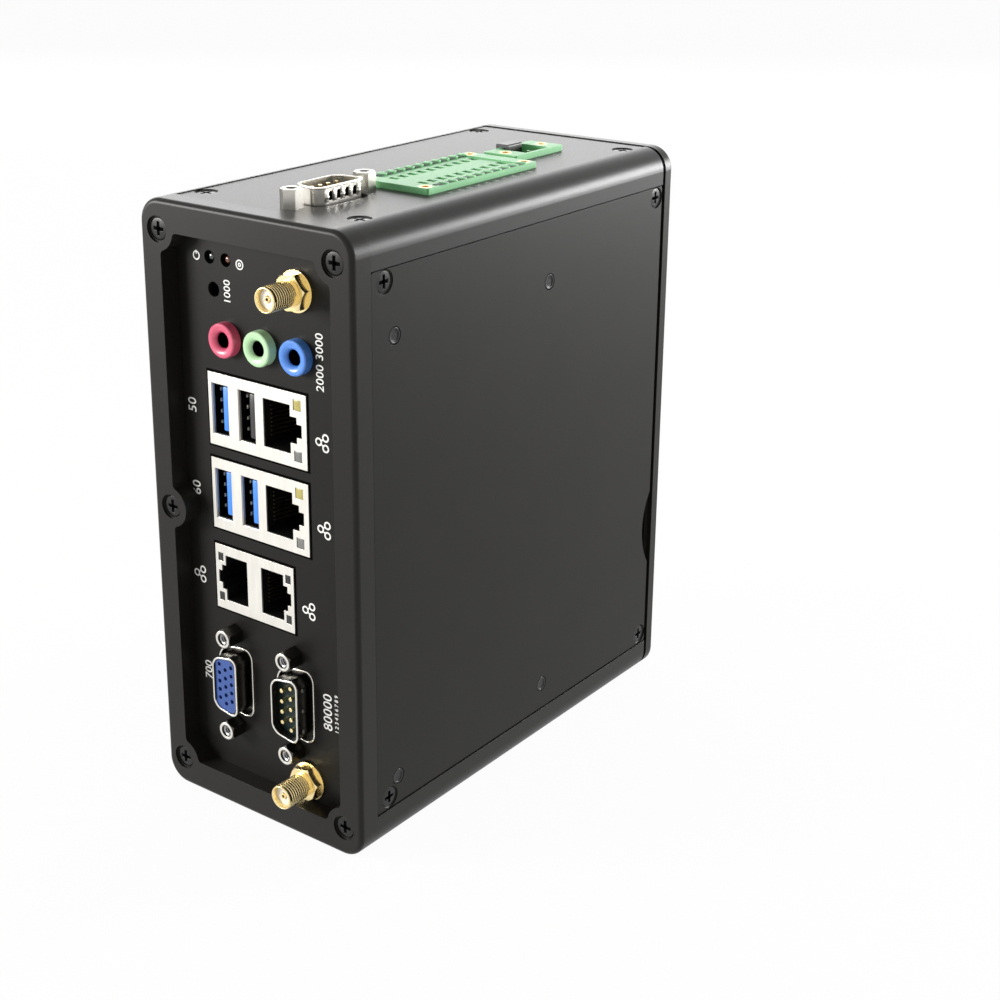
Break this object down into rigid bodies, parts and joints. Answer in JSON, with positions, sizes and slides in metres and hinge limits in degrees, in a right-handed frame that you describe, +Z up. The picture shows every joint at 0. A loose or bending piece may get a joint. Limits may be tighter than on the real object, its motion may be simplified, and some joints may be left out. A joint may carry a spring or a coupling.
{
  "type": "fanless industrial pc",
  "caption": "Upright black metal box computer with stacked ports behind a bezel, pluggable headers on top and a sprung rail clip behind.",
  "frame": {"origin": "centre of the underside of the housing, where it stands", "axes": "+Z up along the housing's height, -Y out of the connector front, +X to the right seen from the front; the rail clip is on the +Y side"},
  "size_m": [0.065, 0.1446, 0.1563],
  "materials": {
    "bezel_black": "satin black anodised casting",
    "sheet_black": "fine-texture black powder coat",
    "rail_black": "satin black extrusion",
    "screw_black": "black oxide",
    "tin_shell": "tin plated sheet",
    "nickel": "nickel plated",
    "gold": "gold plated",
    "bush_brass": "turned",
    "port_plastic": "moulded black",
    "tongue_blue": "moulded blue",
    "tongue_black": "moulded black",
    "video_blue": "moulded blue",
    "insulator_dark": "moulded black",
    "lamp_clear": "clear light pipe",
    "jack_pink": "moulded pink",
    "jack_green": "moulded green",
    "jack_blue": "moulded light blue",
    "header_green": "moulded light green",
    "button_black": "moulded black",
    "board_green": "solder mask over glass fibre",
    "plain_aluminium": "milled",
    "chip_black": "moulded",
    "pad_grey": "soft pad",
    "steel": "plain",
    "spring_steel": "drawn wire"
  },
  "bodies": {
    "housing": {"front_frame": "bezel_black", "front_panel": "sheet_black", "corner_rail_top_left": "rail_black", "corner_rail_top_right": "rail_black", "corner_rail_bottom_left": "rail_black", "corner_rail_bottom_right": "rail_black", "side_sheet_right": "sheet_black", "side_sheet_left": "sheet_black", "top_sheet": "sheet_black", "bottom_sheet": "sheet_black", "rear_plate": "bezel_black", "side_studs_right": "screw_black", "side_studs_left": "screw_black", "port_stack_shells": "tin_shell", "port_stack_bodies": "port_plastic", "usb_tongue_black": "tongue_black", "usb_tongues_blue": "tongue_blue", "twin_port_shell": "tin_shell", "twin_port_body": "port_plastic", "port_lamps": "lamp_clear", "video_shell": "nickel", "video_insulator": "video_blue", "serial_shells": "nickel", "serial_insulators": "insulator_dark", "serial_pins": "gold", "jackscrews": "nickel", "audio_jack_pink": "jack_pink", "audio_jack_green": "jack_green", "audio_jack_blue": "jack_blue", "antenna_sockets": "gold", "antenna_nuts": "gold", "light_pipes": "lamp_clear", "reset_switch": "button_black", "terminal_header": "header_green", "feed_header": "header_green", "feed_key": "port_plastic", "header_pins": "nickel", "header_bushes": "bush_brass", "main_board": "board_green", "header_board": "board_green", "front_board": "board_green", "board_spacers": "nickel", "heat_block": "plain_aluminium", "processor": "chip_black", "thermal_pad": "pad_grey", "card_sockets": "port_plastic", "memory_module": "board_green", "storage_card": "board_green", "coin_cell": "steel", "coin_holder": "port_plastic", "rail_bracket": "plain_aluminium", "latch_keeper": "steel", "long_screws": "screw_black", "sheet_screws": "screw_black", "bracket_screws": "steel", "pan_screws": "steel"},
    "reset_key": {"reset_button": "button_black"},
    "latch": {"rail_latch": "steel", "latch_spring": "spring_steel"}
  },
  "joints": [
    {"name": "reset_press", "type": "slide", "parent": "housing", "child": "reset_key", "axis": [0, 1, 0], "range_m": [0, 0.0005], "stiffness_N_per_m": 1200, "springref_m": -0.0006},
    {"name": "latch_slide", "type": "slide", "parent": "housing", "child": "latch", "axis": [0, 0, -1], "range_m": [0, 0.0035], "stiffness_N_per_m": 1500, "springref_m": -0.004, "deforming": ["latch_spring"]}
  ]
}
